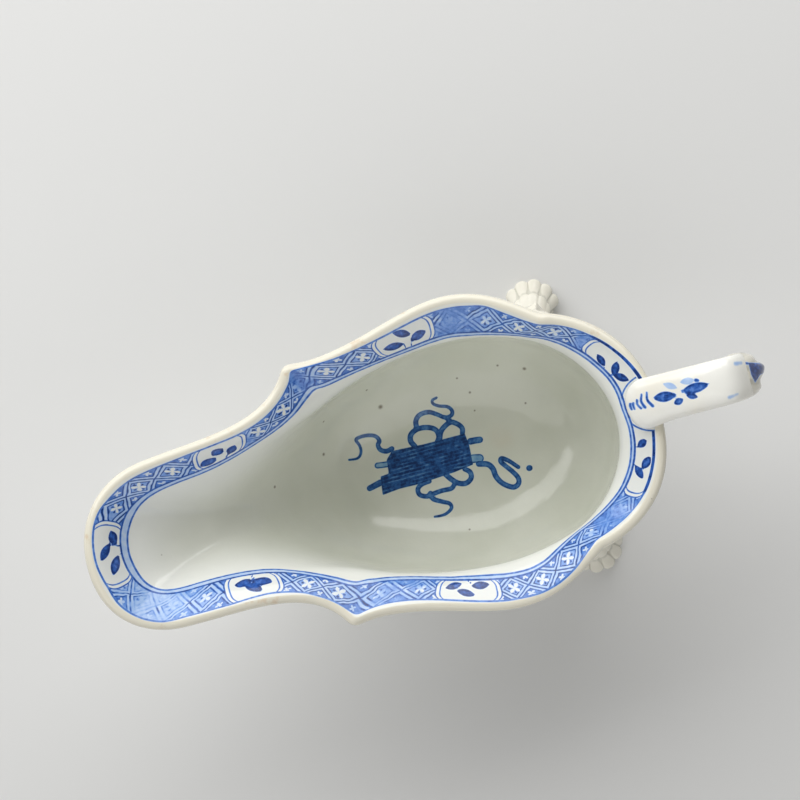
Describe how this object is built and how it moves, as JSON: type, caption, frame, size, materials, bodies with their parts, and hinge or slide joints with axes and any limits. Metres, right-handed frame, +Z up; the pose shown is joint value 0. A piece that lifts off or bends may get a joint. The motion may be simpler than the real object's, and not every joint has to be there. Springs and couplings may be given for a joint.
{
  "type": "sauceboat",
  "caption": "Lobed porcelain sauceboat with wide lip spout, loop handle with thumb leaf, and lion mask and paw feet",
  "frame": {"origin": "on the table plane, under the middle of the piece's bounding box", "axes": "+X from the spout towards the handle, +Y to the left when looking along +X, +Z up"},
  "size_m": [0.2028, 0.0962, 0.0967],
  "materials": {
    "body_glaze": "glossy",
    "handle_glaze": "glossy",
    "relief_glaze": "glossy"
  },
  "bodies": {
    "root": {"body": "body_glaze", "handle": "handle_glaze", "thumb_leaf": "relief_glaze", "front_paw_foot": "relief_glaze", "left_paw_foot": "relief_glaze", "right_paw_foot": "relief_glaze", "front_lion_mask": "relief_glaze", "left_lion_mask": "relief_glaze", "right_lion_mask": "relief_glaze"}
  },
  "joints": []
}
